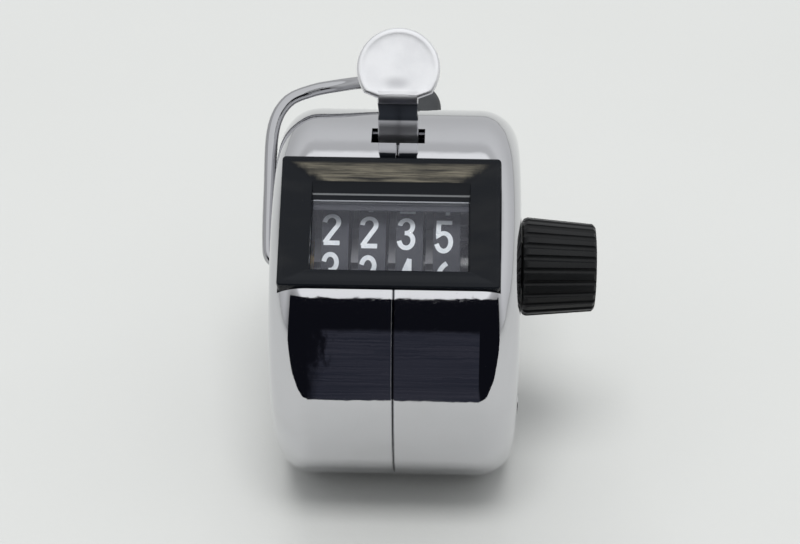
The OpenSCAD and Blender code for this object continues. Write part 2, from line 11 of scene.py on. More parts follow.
import bmesh
import bpy
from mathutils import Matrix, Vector


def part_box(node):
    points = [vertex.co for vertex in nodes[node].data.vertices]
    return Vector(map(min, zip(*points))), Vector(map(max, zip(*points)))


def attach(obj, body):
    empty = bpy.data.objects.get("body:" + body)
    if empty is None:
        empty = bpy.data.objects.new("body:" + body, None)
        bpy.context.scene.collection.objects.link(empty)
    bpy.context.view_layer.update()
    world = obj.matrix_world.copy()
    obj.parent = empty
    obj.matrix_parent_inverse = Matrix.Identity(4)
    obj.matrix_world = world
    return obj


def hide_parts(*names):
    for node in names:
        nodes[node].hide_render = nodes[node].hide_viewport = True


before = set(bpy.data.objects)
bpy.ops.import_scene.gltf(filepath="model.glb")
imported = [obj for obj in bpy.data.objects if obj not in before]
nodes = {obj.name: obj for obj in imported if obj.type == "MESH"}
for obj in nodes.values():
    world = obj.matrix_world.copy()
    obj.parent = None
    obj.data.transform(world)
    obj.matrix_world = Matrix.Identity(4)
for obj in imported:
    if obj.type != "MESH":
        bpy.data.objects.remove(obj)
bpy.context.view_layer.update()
MM = 0.001

# %% [markdown]
# ## Places on the counter
# Everything is laid out from the middle of the round casing, so that point comes first. It is
# found from the casing's own box: the rim is the highest point of the casing, one radius above
# the middle. The wheel axis is the middle of the knob, and the display leans back by a fixed
# angle. A small function turns a side view place into a point in space.

# %% The middle, the axis and the display's directions
CASING_R = 23.0
casing_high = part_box("left_casing")[1]
MIDDLE = Vector((0, 0, casing_high.z / MM - CASING_R))
knob_low, knob_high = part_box("reset_knob")
AXLE = (knob_low + knob_high) / 2 / MM - MIDDLE
AXLE.x = 0
WINDOW_ANGLE = math.radians(56.5)
OUT = Vector((0, -math.cos(WINDOW_ANGLE), math.sin(WINDOW_ANGLE)))
UP = Vector((0, math.sin(WINDOW_ANGLE), math.cos(WINDOW_ANGLE)))
DISPLAY_X = -0.6


def at(x, y, z):
    """A place given from the middle of the casing in millimetres, as a point in metres."""
    return (MIDDLE + Vector((x, y, z))) * MM


print("middle", [round(c, 3) for c in MIDDLE], "axle", [round(c, 3) for c in AXLE])

# %% [markdown]
# ## Camera
# The counter is seen from the front and well above, with a long lens from about a quarter of
# a metre. The distance is a guess that suits the mild perspective of the outline.

# %% Set up the camera
AZIMUTH, ELEVATION = math.radians(1.7), math.radians(35)
DISTANCE = 247.0
AIM_RIGHT, AIM_UP = 0.2, 2.47
back = Vector((math.sin(AZIMUTH) * math.cos(ELEVATION),
               -math.cos(AZIMUTH) * math.cos(ELEVATION), math.sin(ELEVATION)))
right = Vector((math.cos(AZIMUTH), math.sin(AZIMUTH), 0))
camera = bpy.data.objects.new("camera", bpy.data.cameras.new("camera"))
bpy.context.scene.collection.objects.link(camera)
camera.data.lens = 87.75
camera.data.sensor_width = 36
camera.data.clip_start, camera.data.clip_end = 0.01, 20
eye = back * DISTANCE + right * AIM_RIGHT + back.cross(right) * AIM_UP
camera.location = at(*eye)
camera.rotation_mode = "QUATERNION"
camera.rotation_quaternion = (-back).to_track_quat("-Z", "Y")
bpy.context.scene.camera = camera
print("camera at", [round(c, 4) for c in camera.location])

# %% [markdown]
# ## A short way to write shader maths
# A finish is a tree of nodes, and a tree is tedious to wire by hand. `Value` wraps one output
# socket and overloads the arithmetic signs, so an expression such as `1 - mask * 0.4` adds the
# Math nodes it needs. `Finish` holds one material and has a single method for any other node.

# %% The Value and Finish classes
class Value:
    """One output of a node. Arithmetic with numbers or other outputs adds Math nodes."""

    def __init__(self, finish, socket):
        self.finish, self.socket = finish, socket

    def math(self, operation, *others):
        places = dict(enumerate((self, *others)))
        return self.finish.add("ShaderNodeMath", {"operation": operation}, places)

    def __add__(self, other):
        return self.math("ADD", other)

    def __sub__(self, other):
        return self.math("SUBTRACT", other)

    def __rsub__(self, other):
        return self.finish.add("ShaderNodeMath", {"operation": "SUBTRACT"}, {0: other, 1: self})

    def __mul__(self, other):
        return self.math("MULTIPLY", other)

    __radd__, __rmul__ = __add__, __mul__

    def step(self, low, high):
        """Runs smoothly from 0 at low to 1 at high."""
        return self.finish.add("ShaderNodeMapRange", {"interpolation_type": "SMOOTHSTEP"},
                               {"Value": self, "From Min": low, "From Max": high})


class Finish:
    """A material, or a room's backdrop, whose tree is built with one method for any node."""

    def __init__(self, name, backdrop=False):
        kind = "World" if backdrop else "Material"
        self.material = (bpy.data.worlds if backdrop else bpy.data.materials).new(name)
        self.material.use_nodes = True
        self.tree = self.material.node_tree
        self.tree.nodes.clear()
        self.output = self.tree.nodes.new(f"ShaderNodeOutput{kind}")
        place = self.add("ShaderNodeTexCoord", out="Generated" if backdrop else "Object")
        self.place = self.add("ShaderNodeVectorMath", {"operation": "SCALE"},
                              {0: place, "Scale": 1 / MM})

    def add(self, kind, settings=None, values=None, out=0):
        node = self.tree.nodes.new(kind)
        for name, setting in (settings or {}).items():
            setattr(node, name, setting)
        for name, value in (values or {}).items():
            if isinstance(value, Value):
                self.tree.links.new(value.socket, node.inputs[name])
            else:
                node.inputs[name].default_value = value
        return Value(self, node.outputs[out])

    def noise(self, size, detail=3.0, stretch=(1, 1, 1), rough=0.5):
        """Cloudy noise whose blobs measure about size millimetres."""
        spot = self.add("ShaderNodeVectorMath", {"operation": "MULTIPLY"},
                        {0: self.place, 1: stretch})
        return self.add("ShaderNodeTexNoise", None,
                        {"Vector": spot, "Scale": 1 / size, "Detail": detail, "Roughness": rough})

    def mix(self, amount, first, second):
        """A colour between two colours."""
        return self.add("ShaderNodeMix", {"data_type": "RGBA"},
                        {0: amount, 6: first, 7: second}, out=2)

    def scratches(self, size, share):
        """Fine straight marks that run in a few directions: 1 on a mark and 0 elsewhere."""
        marks = None
        for turn in (0.35, -0.6, 1.25):
            spot = self.add("ShaderNodeMapping", None,
                            {"Vector": self.place, "Rotation": (turn, turn * 0.5, turn)})
            spot = self.add("ShaderNodeVectorMath", {"operation": "MULTIPLY"},
                            {0: spot, 1: (0.06, 1, 1)})
            one = self.add("ShaderNodeTexNoise", None,
                           {"Vector": spot, "Scale": 1 / size, "Detail": 1.0})
            one = one.step(1 - share, 1 - share + 0.02)
            marks = one if marks is None else marks.math("MAXIMUM", one)
        return marks

    def display_place(self):
        """How far a spot lies across and up the display from its middle, in millimetres."""
        x = self.add("ShaderNodeSeparateXYZ", None, {0: self.place}, out="X") - DISPLAY_X
        up = self.add("ShaderNodeVectorMath", {"operation": "DOT_PRODUCT"},
                      {0: self.place, 1: UP}, out="Value")
        return x.math("ABSOLUTE"), up - MIDDLE.dot(UP)

    def bump(self, height, depth):
        """A surface normal from a height, whose full range is depth millimetres."""
        return self.add("ShaderNodeBump", None,
                        {"Height": height, "Distance": depth * MM, "Strength": 1.0})

    def surface(self, **sockets):
        """The main shader. Its keyword names are the socket names, with _ for a space."""
        values = {name.replace("_", " "): value for name, value in sockets.items()}
        shader = self.add("ShaderNodeBsdfPrincipled", None, values)
        self.tree.links.new(shader.socket, self.output.inputs["Surface"])
        return self.material


def grey(value, blue=1.0):
    return (value, value, value * blue, 1)


print("shader helpers ready")

# %% [markdown]
# ## Chrome plate
# The casing is drawn from sheet and plated with bright nickel and chrome. A plated pressing
# isn't a perfect mirror: polishing leaves slow waves in the sheet, called orange peel, and
# handling leaves fine marks and faint smears. The waves go into the bump, the smears into
# the roughness. The casing's cool grey mirrors a little over half the light, and the wire's a
# little less than half. A thin dark line of painted shade follows the seam, where the two
# halves meet.

# %% Chrome for the casing and the wire
def chrome(name, wave, wave_depth, tone, seam=False):
    f = Finish(name)
    slow = f.noise(wave, 2.0)
    fine = f.noise(wave * 0.16, 2.0)
    smear = f.noise(7.0, 4.0, (1, 0.4, 1)).step(0.5, 0.75)
    marks = f.scratches(0.5, 0.26)
    colour = f.mix(smear * 0.5 + marks * 0.2, grey(tone, 1.03), grey(tone * 0.94, 1.02))
    if seam:
        side = f.add("ShaderNodeSeparateXYZ", None, {0: f.place}, out="X").math("ABSOLUTE")
        # Painted shade: a thin dark line along the seam between the two halves.
        colour = f.mix(1 - side.step(0.02, 0.12), colour, grey(0.09))
    height = slow * 0.8 + fine * 0.05
    return f.surface(Base_Color=colour, Metallic=1.0, IOR=2.0,
                     Roughness=0.035 + smear * 0.03 + marks * 0.05,
                     Normal=f.bump(height, wave_depth))


casing_chrome = chrome("casing_chrome", 3.4, 0.024, 0.61, seam=True)
wire_chrome = chrome("wire_chrome", 2.2, 0.008, 0.42)
print("chrome finishes", casing_chrome.name, wire_chrome.name)

# %% [markdown]
# ## Satin nickel for the thumb lever
# The pad that the thumb presses is tumbled to a satin sheen, and its neck has a greyer plating.
# Between the fold and the bend the neck looks almost black, so that band is coloured nearly
# black: painted shade and dark reflection. Whether that is its plating or only what it mirrors
# can't be told, so it is made a dark plating. One material does all three, with masks by
# height, and a soft darker spot low on the pad is painted shade.

# %% Satin nickel
# Heights above the middle of the casing, in millimetres, where each mask starts and is whole.
ON_PAD, NECK_STARTS, NECK_ENDS = (28.6, 29.6), (25.5, 25.8), (28.35, 28.5)
# Middle of the soft darker spot low on the pad, which is painted shade.
PAD_SHADE_SPOT = Vector((-0.25, -0.35, 30.45))


def satin_nickel():
    f = Finish("satin_nickel")
    height_mm = f.add("ShaderNodeSeparateXYZ", None, {0: f.place}, out="Z")
    on_pad, from_bend, past_fold = (height_mm.step(MIDDLE.z + low, MIDDLE.z + high)
                                    for low, high in (ON_PAD, NECK_STARTS, NECK_ENDS))
    # Painted shade and dark reflection: the band between the bend and the fold is coloured nearly
    # black.
    dark = from_bend * (1 - past_fold)
    grain = f.noise(0.16, 3.0, rough=0.7)
    cloud = f.noise(2.6, 3.0)
    spot = f.add("ShaderNodeVectorMath", {"operation": "SUBTRACT"},
                 {0: f.place, 1: MIDDLE + PAD_SHADE_SPOT})
    spot = f.add("ShaderNodeVectorMath", {"operation": "MULTIPLY"}, {0: spot, 1: (0.55, 0.8, 1.2)})
    spot = f.add("ShaderNodeVectorMath", {"operation": "LENGTH"}, {0: spot}, out="Value")
    # Painted shade: a soft darker spot low on the pad.
    pad_shade = (1 - spot.step(0.2, 1.25)) * (0.5 + cloud * 0.6)
    colour = f.mix(cloud.step(0.35, 0.7) * 0.5 + grain * 0.3, grey(0.84, 1.01), grey(0.74, 1.02))
    colour = f.mix(1 - on_pad, colour, grey(0.64, 1.02))
    colour = f.mix(pad_shade, colour, grey(0.50, 1.03))
    # The neck band's painted shade and dark reflection.
    colour = f.mix(dark, colour, (0.030, 0.034, 0.042, 1))
    rough = 0.3 + on_pad * (0.02 + grain * 0.12 + cloud * 0.05)
    return f.surface(Base_Color=colour, Metallic=1.0, Roughness=rough,
                     Normal=f.bump(grain * (0.2 + on_pad * 0.8), 0.006))


satin = satin_nickel()
print("lever finish", satin.name)

# %% [markdown]
# ## Black plastics
# The bezel is moulded in glossy black styrene. Its top slope is streaky from rubbing, and a
# brownish painted highlight lies on it, kept on the slope by a mask in the display's own
# directions. The sharp edge above the window has a pale painted highlight as well. The knob
# and the cap behind the lever are a duller plastic with a fine texture.

# %% Glossy bezel plastic and duller knob plastic
def glossy_black():
    f = Finish("bezel_plastic")
    across, up = f.display_place()
    # Painted highlight on the rubbed top slope: its brownish colour stands in for light on the
    # rubbing marks, whose roughness is real wear.
    worn_lit_slope = up.step(5.5, 5.66) * (1 - up.step(7.5, 7.75))
    worn_lit_slope = worn_lit_slope * (1 - (across - up * 1.58 + f.noise(0.8, 3.0) * 1.6).step(-1.2, 0.9))
    worn_lit_slope = worn_lit_slope * (1.1 - up.step(6.2, 8.4) * 0.7)
    # Painted highlight: a pale line along the sharp edge above the window.
    edge_highlight = up.step(4.02, 4.08) * (1 - up.step(4.22, 4.28)) * (1 - across.step(9.2, 9.3))
    rubbing = f.noise(0.32, 5.0, (0.05, 1, 1), 0.7)
    patches = f.noise(4.0, 3.0, (0.5, 1, 1)).step(0.3, 0.75)
    wipe = f.noise(3.0, 5.0, (0.25, 1, 1)).step(0.45, 0.8)
    dust = f.noise(0.35, 2.0).step(0.70, 0.76)
    colour = f.mix(wipe * 0.3 + dust * 0.3, (0.0055, 0.0065, 0.0085, 1), (0.022, 0.022, 0.022, 1))
    # The slope's brownish painted highlight, streaked by the rubbing marks.
    rubbed_highlight = f.mix(rubbing.step(0.34, 0.7) * 0.7 + patches * 0.3, (0.02, 0.02, 0.02, 1),
                   (0.20, 0.182, 0.14, 1))
    colour = f.mix(worn_lit_slope, colour, rubbed_highlight)
    colour = f.mix(edge_highlight, colour, (0.13, 0.135, 0.14, 1))
    return f.surface(Base_Color=colour, Specular_IOR_Level=0.11,
                     Roughness=0.1 + wipe * 0.15 + worn_lit_slope * 0.3,
                     Normal=f.bump(f.noise(2.4, 2.0) * 0.6 + rubbing * 0.1, 0.01))


def dull_black(name, tone, rough, texture):
    f = Finish(name)
    pits = f.noise(texture, 4.0, rough=0.65)
    cloud = f.noise(4.0, 3.0)
    colour = f.mix(cloud * 0.8, (tone, tone * 1.05, tone * 1.12, 1),
                   (tone * 2.0, tone * 2.1, tone * 2.2, 1))
    return f.surface(Base_Color=colour, Specular_IOR_Level=0.17, Roughness=rough + cloud * 0.12,
                     Normal=f.bump(pits, 0.02))


bezel_plastic = glossy_black()
knob_plastic = dull_black("knob_plastic", 0.005, 0.28, 0.22)
cap_plastic = dull_black("cap_plastic", 0.03, 0.5, 0.3)
print("plastics", bezel_plastic.name, knob_plastic.name, cap_plastic.name)

# %% [markdown]
# ## Clear window
# A real pane is clear styrene. Tracing light through a closed glass block would leave the
# wheels behind it in the dark, so the pane is mostly see-through and keeps a thin bluish veil
# in its colour: partly the pane's own haze, partly painted glare. The veil grows towards grazing
# sight by a Fresnel factor, as a real pane's shine does. A thin pale painted highlight lies along
# the pane's cut upper edge.

# %% The pane
def clear_pane():
    f = Finish("clear_pane")
    shine = f.add("ShaderNodeFresnel", None, {"IOR": 1.45})
    haze_and_glare = f.noise(3.2, 4.0, (0.5, 1, 1))
    marks = f.scratches(0.5, 0.31)
    # Painted highlight: a thin pale line along the pane's cut upper edge.
    rim_highlight = f.display_place()[1].step(3.26, 3.32)
    # The pane's colour: partly its own haze, partly painted glare over the wheels.
    colour = f.mix(haze_and_glare, (0.13, 0.135, 0.16, 1), (0.19, 0.195, 0.225, 1))
    colour = f.mix(rim_highlight, colour, (0.5, 0.52, 0.56, 1))
    return f.surface(Base_Color=colour, IOR=1.5, Roughness=0.05 + haze_and_glare * 0.05,
                     Alpha=0.07 + shine * 0.5 + haze_and_glare * 0.06 + marks * 0.03 + rim_highlight * 0.3)


pane = clear_pane()
print("window", pane.name)

# %% [markdown]
# ## Number wheels and their figures
# Each wheel is moulded in charcoal plastic with its ten figures filled in pale paint. The
# wheel's rim has fine turning marks. The paint is a little uneven, as filled figures are. Its
# very faint glow isn't a property of the paint: it stands in for light that bounces about
# inside the recess.

# %% Wheel plastic and figure paint
def wheel_plastic():
    f = Finish("wheel_plastic")
    turning = f.noise(0.3, 2.0, (6, 0.4, 0.4))
    cloud = f.noise(2.0, 3.0)
    colour = f.mix(cloud * 0.6 + turning * 0.4, (0.030, 0.032, 0.040, 1), (0.062, 0.065, 0.078, 1))
    return f.surface(Base_Color=colour, Roughness=0.42 + turning * 0.2,
                     Normal=f.bump(turning, 0.01))


def figure_paint():
    f = Finish("figure_paint")
    patch = f.noise(0.5, 3.0)
    colour = f.mix(patch.step(0.3, 0.75), (0.80, 0.85, 0.90, 1), (0.93, 0.96, 0.99, 1))
    return f.surface(Base_Color=colour, Roughness=0.5 + patch * 0.2,
                     Emission_Color=(0.8, 0.9, 1, 1), Emission_Strength=0.05,
                     Normal=f.bump(patch, 0.01))


charcoal, paint = wheel_plastic(), figure_paint()
print("wheels", charcoal.name, paint.name)

# %% [markdown]
# ## Metals of the works
# Inside there are blanked steel plates with a dull zinc plating, turned pins of bright
# steel, blued spring steel and brass bushes. One function makes them all from a colour, a
# roughness and a grain direction, since what sets them apart is how they were cut.

# %% Steel, spring steel and brass
def cut_metal(name, light, dark, rough, grain_size, stretch, depth):
    f = Finish(name)
    grain = f.noise(grain_size, 4.0, stretch, 0.6)
    stain = f.noise(3.5, 4.0).step(0.45, 0.75)
    colour = f.mix(grain * 0.5 + stain * 0.5, light, dark)
    return f.surface(Base_Color=colour, Metallic=1.0, Roughness=rough + grain * 0.15 + stain * 0.1,
                     Normal=f.bump(grain, depth))


zinc = cut_metal("zinc_plate", grey(0.52, 1.04), grey(0.36, 1.06), 0.3, 0.5, (1, 1, 1), 0.01)
turned = cut_metal("turned_steel", grey(0.62), grey(0.48), 0.16, 0.25, (5, 0.5, 0.5), 0.006)
spring = cut_metal("spring_steel", grey(0.30, 1.15), grey(0.2, 1.2), 0.22, 0.3, (1, 4, 1), 0.004)
brass = cut_metal("turned_brass", (0.72, 0.50, 0.20, 1), (0.5, 0.33, 0.12, 1), 0.2, 0.25,
                  (5, 0.5, 0.5), 0.006)
print("metals", [m.name for m in (zinc, turned, spring, brass)])

# %% [markdown]
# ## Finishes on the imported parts
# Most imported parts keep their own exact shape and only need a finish. The record gives every
# part a material slot, and a table from slot to finish dresses them all.

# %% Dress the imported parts
FINISH_OF_SLOT = {
    "chrome": casing_chrome, "chrome_wire": wire_chrome, "satin_steel": satin,
    "black_gloss": bezel_plastic, "black_matte": knob_plastic, "boss_black": cap_plastic,
    "lens": pane, "wheel_black": charcoal, "plated_steel": zinc, "bright_steel": turned,
    "spring_steel": spring, "brass": brass,
}
for node in nodes.values():
    for place in node.material_slots:
        place.material = FINISH_OF_SLOT[place.material.name.split(".")[0]]
print("dressed", len(nodes), "parts with", len(FINISH_OF_SLOT), "finishes")

# %% [markdown]
# ## Making new skins
# The parts that are built again are all skins stretched over a row of rings: a bezel is a
# stack of rectangles, a wire is a row of circles. `skin` joins the rings with quads, closes the
# ends, and leaves an edge sharp only where two faces meet at a clear angle.

# %% The skin function
SHARP = math.radians(32)


def skin(name, rings, finish, body, close_row=False, stands_for=(), soft=SHARP):
    mesh = bpy.data.meshes.new(name)
    bm = bmesh.new()
    rows = [[bm.verts.new(p) for p in ring] for ring in rings]
    count = len(rows[0])
    pairs = list(zip(rows, rows[1:])) + ([(rows[-1], rows[0])] if close_row else [])
    for low, high in pairs:
        for k in range(count):
            m = (k + 1) % count
            bm.faces.new((low[k], low[m], high[m], high[k]))
    if not close_row:
        bm.faces.new(rows[0][::-1])
        bm.faces.new(rows[-1])
    put(name, bm, mesh, finish, body, stands_for, soft)


def put(name, bm, mesh, finish, body, stands_for=(), soft=SHARP):
    """Turns a finished bmesh into a piece that rides on a body."""
    bmesh.ops.recalc_face_normals(bm, faces=bm.faces)
    for face in bm.faces:
        face.smooth = True
    for edge in bm.edges:
        edge.smooth = edge.calc_face_angle(0.0) < soft
    bm.to_mesh(mesh)
    bm.free()
    mesh.materials.append(finish)
    piece = bpy.data.objects.new(name, mesh)
    bpy.context.scene.collection.objects.link(piece)
    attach(piece, body)
    if stands_for:
        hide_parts(*stands_for)
    print(name, len(mesh.polygons), "faces on", body)


# %% [markdown]
# ## The bezel
# The bezel is one moulding: a flat rim, four sloping faces that lead the eye down to the
# window, a step above the window, and a pocket behind that holds the pane. As rings go, it
# is a row of rounded rectangles from the back, over the rim, down to the window and into the
# pocket, so the mould's small edge radii can be set ring by ring.

# %% Mould the bezel
BEZEL_BACK, BEZEL_FACE = 19.45, 22.3
BEZEL_HALF, BEZEL_LOW, BEZEL_HIGH = 12.9, -8.0, 8.4
BEZEL_SHARP = math.radians(24)
PANE_TOP = 20.72


def rectangle(left, right_side, bottom, top, depth, radius, steps=5):
    """A rounded rectangle in the display's own directions, as a ring of points."""
    corners = [(right_side - radius, top - radius, 0), (left + radius, top - radius, 90),
               (left + radius, bottom + radius, 180), (right_side - radius, bottom + radius, 270)]
    ring = []
    for x, y, start in corners:
        for k in range(steps + 1):
            a = math.radians(start + 90 * k / steps)
            p = UP * (y + radius * math.sin(a)) + OUT * depth
            ring.append(at(DISPLAY_X + x + radius * math.cos(a), p.y, p.z))
    return ring


# The back, the outer wall and the flat rim: how far in, depth and corner radius.
RIM = ((0, BEZEL_BACK, 0.45), (0, BEZEL_FACE - 0.28, 0.45), (0.05, BEZEL_FACE - 0.1, 0.42),
       (0.2, BEZEL_FACE, 0.35), (0.62, BEZEL_FACE, 0.3), (0.74, BEZEL_FACE - 0.05, 0.28))
# The slopes' feet, the step, the window and the pocket: half width, bottom, top, depth and
# corner radius.
WELL = ((9.36, -5.7, 5.62, 21.5, 0.16), (9.3, -5.62, 5.5, 21.44, 0.14),
        (9.22, -5.54, 4.2, 20.82, 0.12), (9.19, -5.5, 4.1, 20.79, 0.1),
        (9.15, -5.45, 3.55, 20.76, 0.1), (9.15, -5.45, 3.45, PANE_TOP, 0.1),
        (9.84, -6.14, 4.14, PANE_TOP, 0.1), (9.84, -6.14, 4.14, BEZEL_BACK, 0.1))
bezel_rings = [rectangle(-BEZEL_HALF + by, BEZEL_HALF - by, BEZEL_LOW + by, BEZEL_HIGH - by,
                         depth, radius) for by, depth, radius in RIM]
bezel_rings += [rectangle(-half, half, *rest) for half, *rest in WELL]
skin("bezel_moulding", bezel_rings, bezel_plastic, "casing", close_row=True,
     stands_for=("window_bezel",), soft=BEZEL_SHARP)

# %% [markdown]
# ## The mask behind the pane
# The figures above the ones that are read are cut off in a straight line, with only their feet
# showing, so some strip must lie behind the upper edge of the pane. What it looks like is a
# guess: here it is a flat strip of dull plastic with rounded edges, laid on the pane's back.

# %% Cut the mask
MASK_HALF, MASK_LOW, MASK_HIGH, MASK_BACK = 9.7, 2.52, 4.05, 19.72
mask_rings = [rectangle(-MASK_HALF + by, MASK_HALF - by, MASK_LOW + by, MASK_HIGH - by,
                        MASK_BACK + z, 0.1)
              for by, z in ((0.05, 0), (0, 0.04), (0, 0.16), (0.05, 0.2))]
skin("window_mask", mask_rings, charcoal, "casing")

# %% [markdown]
# ## The finger ring
# The ring is one length of round wire, bent in a jig: in at the left side, up and over the
# shoulder, through the cap, and round behind. Its route is the same list of places that the
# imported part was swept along. More steps and more sides make it smooth in a mirror finish.

# %% Bend the wire
WIRE_R = 0.825
SKIN_UNDER = 0.03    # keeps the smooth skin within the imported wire's box
SIDE_X, ARCH_X, REACH = -15.825, 1.6, 40.5
CAP_TURN, CAP_HALF, END_TURN = 150, 3.3, 208


def round_casing(r, degrees):
    a = math.radians(degrees)
    return Vector((0, -r * math.cos(a), r * math.sin(a)))


def curve(places, steps):
    """A smooth curve through places, with so many steps between two of them."""
    path = []
    for i in range(len(places) - 1):
        a, b = places[max(i - 1, 0)], places[i]
        c, d = places[i + 1], places[min(i + 2, len(places) - 1)]
        for s in range(steps):
            t = s / steps
            path.append(0.5 * (2 * b + (c - a) * t + (2 * a - 5 * b + 4 * c - d) * t * t
                               + (3 * b - a - 3 * c + d) * t ** 3))
    return path + [places[-1]]


def tube(path, radius, sides):
    """Rings of points round a path, each turned from the one before it, so nothing twists."""
    rings, start = [], (path[1] - path[0]).normalized()
    side = Vector((0, 1, 0)) if abs(start.y) < 0.9 else Vector((0, 0, 1))
    for i, p in enumerate(path):
        ahead = (path[min(i + 1, len(path) - 1)] - path[max(i - 1, 0)]).normalized()
        side = (side - ahead * side.dot(ahead)).normalized()
        other = ahead.cross(side)
        rings.append([at(*(p + (side * math.cos(a) + other * math.sin(a)) * radius))
                      for a in (math.tau * k / sides for k in range(sides))])
    return rings


cap_middle = round_casing(27.5, CAP_TURN) + Vector((ARCH_X, 0, 0))
cap_way = Vector((0, math.sin(math.radians(CAP_TURN)), math.cos(math.radians(CAP_TURN))))
ring_places = [Vector(p) for p in (
    (-13.4, AXLE.y, AXLE.z), (SIDE_X + 1.4, AXLE.y, AXLE.z),
    (SIDE_X + 0.3, AXLE.y + 0.4, AXLE.z + 0.5), (SIDE_X, AXLE.y + 1.8, AXLE.z + 2),
    (SIDE_X, 0.7, 14.2), (SIDE_X + 0.1, 6.4, 19.4), (-14.2, 9.2, 21.9), (-11.2, 10.9, 22.7),
    (-7.6, 13, 22.4), (-4.1, 16.2, 21.2), (-1.3, 18.9, 20), (0.9, 20.9, 18.7),
    cap_middle - CAP_HALF * cap_way, cap_middle, cap_middle + CAP_HALF * cap_way,
    (ARCH_X, 27, 8.9), (ARCH_X, 31, 8.3), (ARCH_X, REACH - 4, 6.2),
    (ARCH_X, REACH - WIRE_R, -1), (ARCH_X, REACH - 5, -9.5), (ARCH_X, REACH - 12, -13.5),
    round_casing(27, END_TURN) + Vector((ARCH_X, 0, 0)),
    round_casing(20.4, END_TURN) + Vector((ARCH_X, 0, 0)))]
ring_path = curve(ring_places, steps=14)
skin("finger_ring_wire", tube(ring_path, WIRE_R - SKIN_UNDER, sides=28), wire_chrome, "casing",
     stands_for=("finger_ring",))
wire_length = sum((b - a).length for a, b in zip(ring_path, ring_path[1:]))
print("wire length in mm", round(wire_length, 1))

# %% [markdown]
# ## The coil springs
# Two small torsion springs sit on the lever's pivot and on the pawl's pin. They are wound
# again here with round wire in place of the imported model's facets.

# %% Wind the springs
COIL_STEPS = 24
COIL_SHARP = 1.3


def coil(name, body, start, radius, pitch, turns, first, leg_in, leg_out, wire_r):
    node = "lever_return_spring" if body == "casing" else "pawl_spring"
    turn = math.radians(first)
    places = [Vector((0, radius * math.cos(turn), radius * math.sin(turn))) + Vector(leg_in)]
    for k in range(COIL_STEPS * turns + 1):
        a = turn + math.radians(360 / COIL_STEPS) * k
        places.append(Vector((pitch * k / COIL_STEPS, radius * math.cos(a), radius * math.sin(a))))
    places.append(places[-1] + Vector(leg_out))
    rings = tube([Vector(start) + p for p in places], wire_r, sides=10)
    skin(name, rings, spring, body, stands_for=(node,), soft=COIL_SHARP)


coil("lever_return_coil", "casing", start=(7.5, 1.5, 18), radius=1.45, pitch=0.45, turns=3,
     first=0, leg_in=(0, 1.2, -4), leg_out=(0, 3.4, -1.6), wire_r=0.19)
coil("pawl_coil", "thumb_lever", start=(5.1, 6.8, -3), radius=1.2, pitch=0.27, turns=3,
     first=90, leg_in=(0, -2.6, 0.4), leg_out=(0, 3, 2.4), wire_r=0.12)

# %% [markdown]
# ## The thumb lever
# The lever is one strip of sheet: a straight leg in the slot, a bend, a short neck, a sharp
# fold, and the round pad. The strip is a row of rounded rectangles along its side view, and
# the pad is its round outline stepped inwards, so that its rim rolls over and its face is
# very slightly dished. The two meet inside the fold.

# %% Press the strip and the pad
LEVER_T, NECK_W, EDGE_R = 0.9, 4.8, 0.2
FOLD_CUT, BEND_CUT = 0.7, 1.1
WAIST_IN, WAIST_Z, WAIST_SPAN = 0.16, 27.0, 0.9
FOLD = Vector((0, -1.6, 28.95))
PAD_TILT = math.radians(50)
PAD_UP = Vector((0, math.cos(PAD_TILT), math.sin(PAD_TILT)))
PAD_OUT = Vector((0, -math.sin(PAD_TILT), math.cos(PAD_TILT)))
PAD_R, PAD_REACH, PAD_FOOT = 4.9, 3.55, 0.1
PAD_SHOULDER = math.radians(35)
ARC_STEPS, SIDE_STEPS = 96, 8
# The pad's face and rim from the back to the front: how far in, and how far out of its plane.
PAD_PROFILE = ((0.5, -0.45), (0.12, -0.43), (0.0, -0.3), (0.0, 0.12), (0.05, 0.26),
               (0.16, 0.37), (0.32, 0.43), (0.5, 0.45), (0.66, 0.42), (0.85, 0.37),
               (1.3, 0.34), (2.4, 0.31), (3.8, 0.3))


def strip_rings():
    bend, foot = Vector((0, -0.45, 25.6)), Vector((0, -0.45, 19.35))
    path = [FOLD + PAD_UP * 0.85]
    before = [path[0], FOLD, bend, foot]
    for i, cut in ((1, FOLD_CUT), (2, BEND_CUT)):
        came = (before[i - 1] - before[i]).normalized()
        goes = (before[i + 1] - before[i]).normalized()
        for k in range(9):
            t = k / 8
            path.append(before[i] + came * cut * (1 - t) ** 2 + goes * cut * t ** 2)
    path.append(foot)
    rings = []
    for i, p in enumerate(path):
        ahead = (path[min(i + 1, len(path) - 1)] - path[max(i - 1, 0)]).normalized()
        front = Vector((1, 0, 0)).cross(ahead)
        waist = WAIST_IN * math.exp(-((p.z - WAIST_Z) / WAIST_SPAN) ** 2)
        ring = []
        for sx, sy, start in ((1, 1, 0), (-1, 1, 90), (-1, -1, 180), (1, -1, 270)):
            for k in range(4):
                a = math.radians(start + 30 * k)
                x = sx * (NECK_W / 2 - waist - EDGE_R) + EDGE_R * math.cos(a)
                y = sy * (LEVER_T / 2 - EDGE_R) + EDGE_R * math.sin(a)
                ring.append(at(*(p + Vector((x, 0, 0)) + front * y)))
        rings.append(ring)
    return rings


